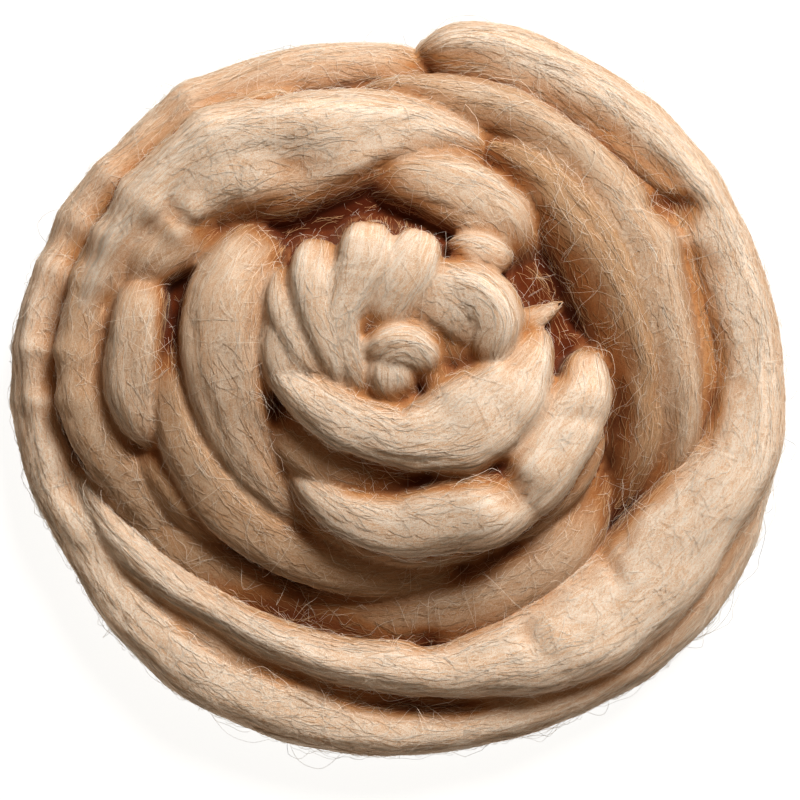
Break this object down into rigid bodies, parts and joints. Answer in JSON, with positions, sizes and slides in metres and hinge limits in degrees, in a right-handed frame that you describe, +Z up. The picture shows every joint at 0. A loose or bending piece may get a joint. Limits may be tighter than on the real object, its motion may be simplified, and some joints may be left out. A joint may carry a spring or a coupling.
{
  "type": "nest of wool roving",
  "caption": "Soft, combed, untwisted wool strand, wound clockwise into a round nest with a rose of folds at its middle and its outer end lying on the ring.",
  "frame": {"origin": "middle of the flat underside", "axes": "+X to the right and +Y to the back, as seen from above with the loose end at the back; +Z up"},
  "size_m": [0.2401, 0.2273, 0.071],
  "materials": {
    "wool": "soft combed wool, pale peach beige, with a fine silky streak along the strand and loose fuzz"
  },
  "bodies": {
    "root": {"wound_roving": "wool"}
  },
  "joints": []
}
